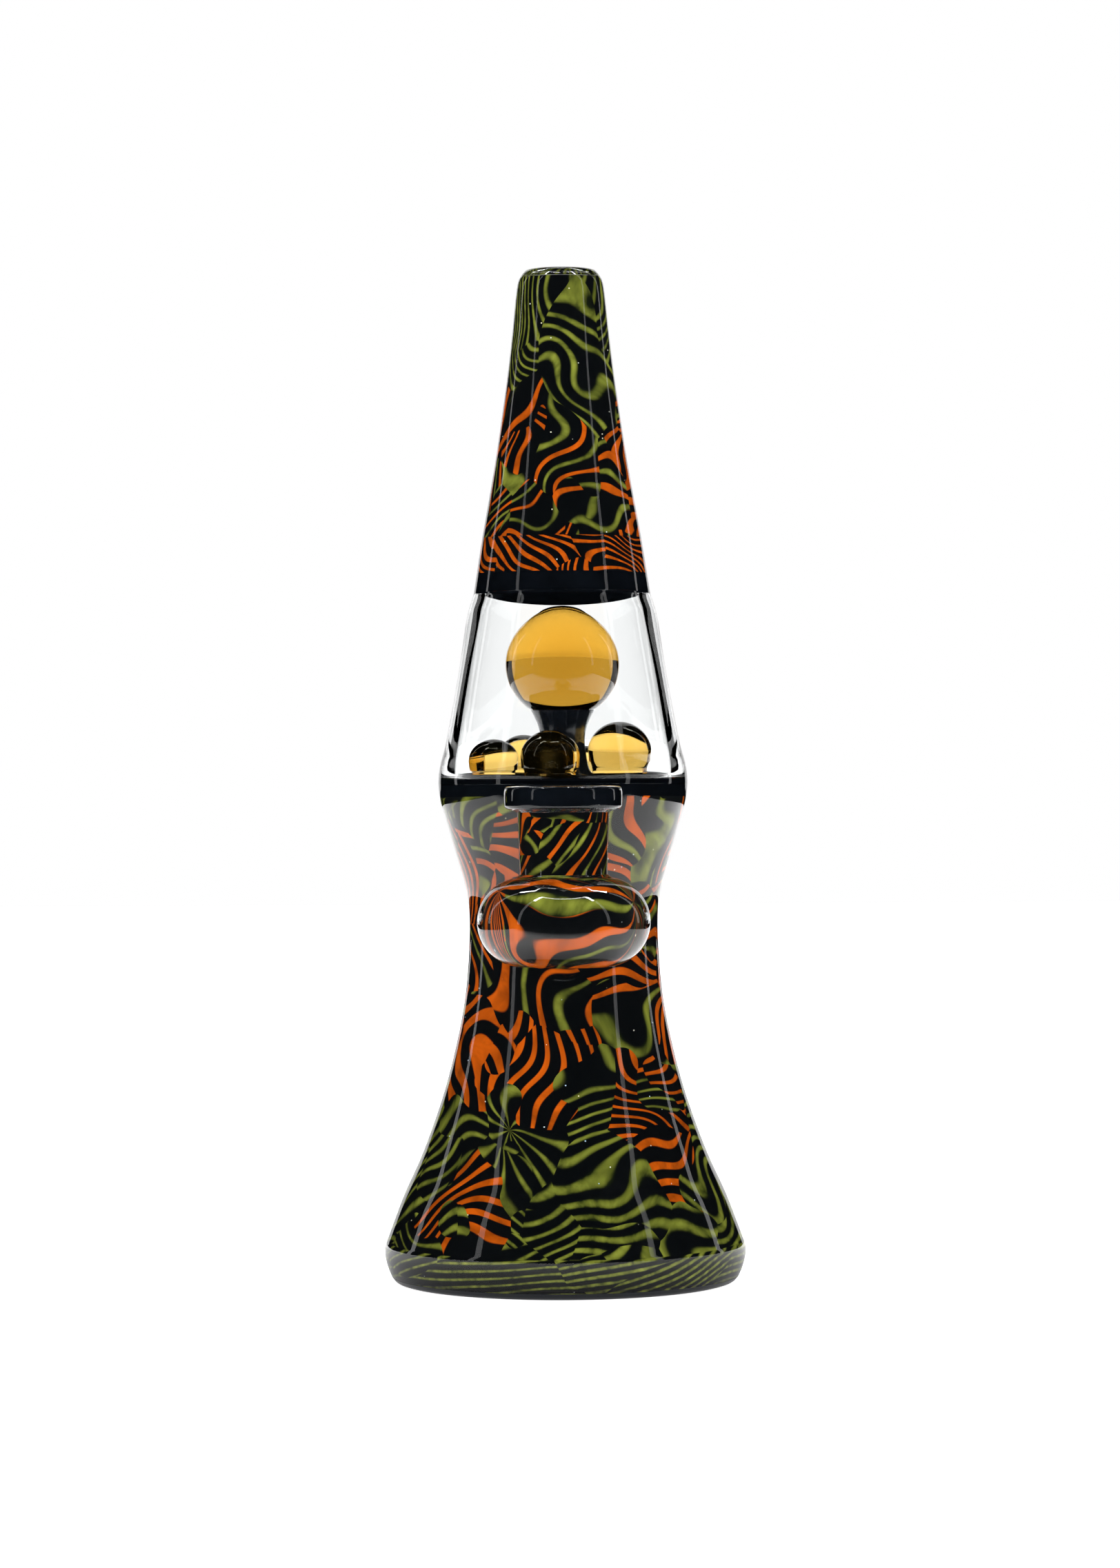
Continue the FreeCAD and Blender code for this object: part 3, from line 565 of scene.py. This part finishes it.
def build_lava(amber, black):
    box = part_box("lava_ball")
    radius = box[1].x
    centre = (box[0].z + box[1].z) / 2
    seat = 10.5 * MM
    arc = [(radius * math.sin(a), centre - radius * math.cos(a))
           for a in (math.pi * step / 60 for step in range(61))]
    stem = smooth([
        (7.2 * MM, BODY_TOP - SINK), (5.6 * MM, BODY_TOP + 3 * MM), (4.9 * MM, BODY_TOP + 9 * MM),
        (5.5 * MM, BODY_TOP + 12.5 * MM), (7.1 * MM, centre - seat)], 0.6 * MM)
    ball = turn("lava_ball", arc)
    finish_piece(ball, amber, "amber_glass", "lava_ball")
    cup = [(r, z) for r, z in reversed(arc) if z < centre - seat and r > 0]
    foot = turn("lava_stem", [(0, BODY_TOP - SINK), *stem, *cup, (0, centre - radius)])
    finish_piece(foot, black, "black_glass", "lava_stem")
    for side in ("left", "front", "back", "middle", "right"):
        node = f"lava_blob_{side}"
        a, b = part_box(node)
        r, tall = (b.x - a.x) / 2, b.z - a.z
        dome = [(r * math.cos(t), b.z - r + r * math.sin(t))
                for t in (math.pi / 2 * step / 16 for step in range(17))]
        side_wall = smooth([
            (r * 0.86, a.z - SINK), (r * 0.88, a.z + 0.2 * tall), (r * 0.97, b.z - 1.35 * r)], 0.6 * MM)
        blob = turn(node, [(0, a.z - SINK), *side_wall, *dome], x=(a.x + b.x) / 2, y=(a.y + b.y) / 2)
        finish_piece(blob, amber, "amber_glass", node)


# ---------------------------------------------------------------- studio

# light from between two azimuths and two elevations, in degrees, and its strength
STUDIO = {
    "backdrop": ((-1, 47), (-91, 38), 1.12),
    "sides": ((72, 91), (-91, 38), 1.12),
    "strip": ((60, 64.5), (-4, 52), 1.5),
    "strip_head": ((57, 63), (54, 66), 45.0),
    "bar": ((-1, 63), (66, 67.5), 20.0),
    "behind": ((-1, 24), (-91, 91), 1.0),
}
TABLE_SIZE = 6.0
TABLE_GLOW = 1.2            # of the table through the glass
TABLE_SEEN = 0.9            # and seen directly
TABLE_PAINT = 0.8
LAMP_AIM = 0.1              # height the soft lamps point at
CAMERA_X = -0.66 * MM
CAMERA_Y = -961 * MM
CAMERA_ROLL = 0.3           # degrees
CAMERA_LENS = 98.9          # millimetres, as is the width of its film
CAMERA_FILM = 36
SHADOW = 0.25               # share of light left on the table close round the foot
SHADOW_REACH = 3 * FOOT_R

def build_world():
    """White sweep behind, dark room in front, with two tall strip lamps and a bar between them.

    Light that came through the glass shows the sweep, and light mirrored by it shows the lamps.
    Both are the same in front and behind, left and right. Only the mirrored light also has a
    strip of the sweep, straight behind.
    """
    world = bpy.data.worlds.new("studio")
    bpy.context.scene.world = world
    world.use_nodes = True
    tree = world.node_tree
    tree.nodes.clear()
    way = put(tree, "SeparateXYZ", put(tree, "TexCoord").outputs["Generated"]).outputs
    across = put(tree, "Math:ABSOLUTE", way["X"])
    azimuth = put(tree, "Math:ARCTAN2", across, put(tree, "Math:ABSOLUTE", way["Y"]))
    elevation = put(tree, "Math:ARCSINE", way["Z"])

    def patch(name):
        azimuths, elevations, strength = STUDIO[name]
        light = strength
        for angle, (start, end) in ((azimuth, azimuths), (elevation, elevations)):
            above = put(tree, "Math:GREATER_THAN", angle, math.radians(start))
            below = put(tree, "Math:LESS_THAN", angle, math.radians(end))
            light = put(tree, "Math:MULTIPLY", put(tree, "Math:MULTIPLY", above, below), light)
        return light

    seen_through = put(tree, "Math:MAXIMUM", patch("backdrop"), patch("sides"))
    behind = put(tree, "Math:GREATER_THAN", way["Y"], 0.0)
    behind = put(tree, "Math:MULTIPLY", behind, patch("behind"))
    strips = put(tree, "Math:ADD", patch("strip"), patch("strip_head"))
    mirrored = put(tree, "Math:ADD", strips, put(tree, "Math:ADD", patch("bar"), behind))
    path = put(tree, "LightPath").outputs
    bounced = put(tree, "Math:GREATER_THAN", path["Glossy Depth"], 0.5)
    strength = put(tree, "Mix", {"Factor": bounced, "A": seen_through, "B": mirrored})
    strength = put(tree, "Mix", {"Factor": path["Is Camera Ray"], "A": strength, "B": 1.0})
    light = put(tree, "Background", {"Color": (1.0, 1.0, 1.0, 1.0), "Strength": strength})
    put(tree, "OutputWorld", light)


def build_floor():
    """White table: lit from below, so that only the contact shadow shows on it."""
    bpy.ops.object.select_all(action="DESELECT")
    bpy.ops.mesh.primitive_plane_add(size=TABLE_SIZE, location=(0, 0, -0.02 * MM))
    floor = bpy.context.object
    floor.name = "table"
    material, tree = new_material("white_acrylic_table")
    path = put(tree, "LightPath").outputs
    place = put(tree, "TexCoord").outputs["Object"]
    spot = put(tree, "SeparateXYZ", place).outputs
    before = put(tree, "MapRange", {
        "Value": spot["Y"], "From Min": TABLE_EDGE_Y, "From Max": TABLE_FULL_Y})
    beside = put(tree, "Math:LESS_THAN", put(tree, "Math:ABSOLUTE", spot["X"]), TABLE_HALF_WIDTH)
    table = put(tree, "Math:MULTIPLY", before, beside)
    bounced = put(tree, "Math:GREATER_THAN", path["Glossy Depth"], 0.5)
    shadow = put(tree, "MapRange", {
        "Value": put(tree, "VectorMath:LENGTH", place).outputs["Value"],
        "From Min": FOOT_R, "From Max": SHADOW_REACH, "To Min": SHADOW, "To Max": 1.0})
    mirrored = put(tree, "Math:MULTIPLY", table, shadow)
    strength = put(tree, "Mix", {"Factor": bounced, "A": TABLE_GLOW, "B": mirrored})
    glow = put(tree, "Mix", {"Factor": path["Is Camera Ray"], "A": strength, "B": TABLE_SEEN})
    light = put(tree, "Emission", {"Strength": glow})
    dark = put(tree, "Math:MULTIPLY", bounced, put(tree, "Math:SUBTRACT", 1.0, mirrored))
    paint = put(tree, "Math:MULTIPLY", put(tree, "Math:SUBTRACT", 1.0, dark), TABLE_PAINT)
    both = put(tree, "AddShader", light, put(tree, "BsdfDiffuse", paint))
    output(tree, both)
    floor.data.materials.append(material)


def build_lamps():
    """Soft lamps that light the coloured glass under the casing."""
    for name, place, size, power in (
            ("key", (-0.55, -0.75, 0.75), 0.5, 6.5),
            ("fill", (0.7, -0.6, 0.5), 0.5, 4.5),
            ("rear", (0.3, 0.9, 0.9), 0.6, 5.0)):
        bpy.ops.object.light_add(type="AREA", location=place)
        lamp = bpy.context.object
        lamp.name = name
        lamp.data.size = size
        lamp.data.energy = power
        aim = -lamp.location
        aim.z += LAMP_AIM
        lamp.rotation_euler = aim.to_track_quat("-Z", "Y").to_euler()
        lamp.visible_glossy = False
        lamp.visible_transmission = False
        lamp.visible_camera = False


def build_camera():
    """Level camera at the height of the window's floor."""
    bpy.ops.object.camera_add(
        location=(CAMERA_X, CAMERA_Y, BODY_TOP), rotation=(math.pi / 2, math.radians(CAMERA_ROLL), 0))
    camera = bpy.context.object
    camera.data.lens = CAMERA_LENS
    camera.data.sensor_width = CAMERA_FILM
    bpy.context.scene.camera = camera


def main():
    scene = bpy.context.scene
    scene.view_settings.view_transform = "Standard"
    scene.view_settings.look = "None"
    build_camera()
    build_world()
    build_floor()
    build_lamps()
    glass = clear_glass()
    black = black_glass("fused_black_glass", 0.0)
    polished = black_glass("polished_black_glass", POLISH)
    ground = ground_glass()
    amber = amber_glass()
    body = lined_glass(
        "body_lined_glass", 18 * MM, 4.0 * MM, 19 * MM, 6.0 * MM,
        ((0.0, 0.0, 0.0, 0.5, 0.45), (45 * MM, 0.75, 0.25, 0.8, 0.7), (72 * MM, 0.25, 0.6, 0.5, 1.0)),
        wheels=0.12, drip=109.3 * MM,
        spots=(((-27 * MM, -24 * MM, 15 * MM), 11 * MM), ((26 * MM, -20 * MM, 38 * MM), 10 * MM)))
    foot = lined_glass(
        "foot_lined_glass", 60 * MM, 1.5 * MM, 30 * MM, 1.5 * MM, ((0.0, 0.0, 0.0, 0.54, 0.03),))
    cone = lined_glass(
        "cone_lined_glass", 13 * MM, 3.2 * MM, 14 * MM, 4.5 * MM,
        ((0.0, 0.25, 0.75, 0.78, 0.4), (201 * MM, 0.0, 0.0, 0.9, 0.8)), stretch=1.6, wheels=0.04)
    chevron = lined_glass(
        "chevron_lined_glass", 24 * MM, 1.7 * MM, 12 * MM, 2.6 * MM, ((0.0, 1.0, 0.0, 0.3, 0.5),))
    bubble = lined_glass(
        "bubble_lined_glass", 18 * MM, 3.0 * MM, 12 * MM, 3.4 * MM, ((0.0, 0.1, 0.9, 0.5, 0.4),),
        axis_y=PORT_Y, spindle=BUBBLE_Z)
    neck = lined_glass(
        "neck_lined_glass", 16 * MM, 3.6 * MM, 10 * MM, 2.0 * MM, ((0.0, 0.0, 1.0, 0.7, 0.2),),
        axis_y=PORT_Y)
    build_body(glass, black, polished, body, foot)
    build_window(glass, black)
    build_cone(glass, black, cone, chevron)
    build_port(glass, black, ground, bubble, neck)
    build_lava(amber, polished)
    for name in ("bridge_tube", "bridge_collar", "downstem"):
        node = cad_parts[name]
        for slot in node.material_slots:
            slot.material = glass


main()
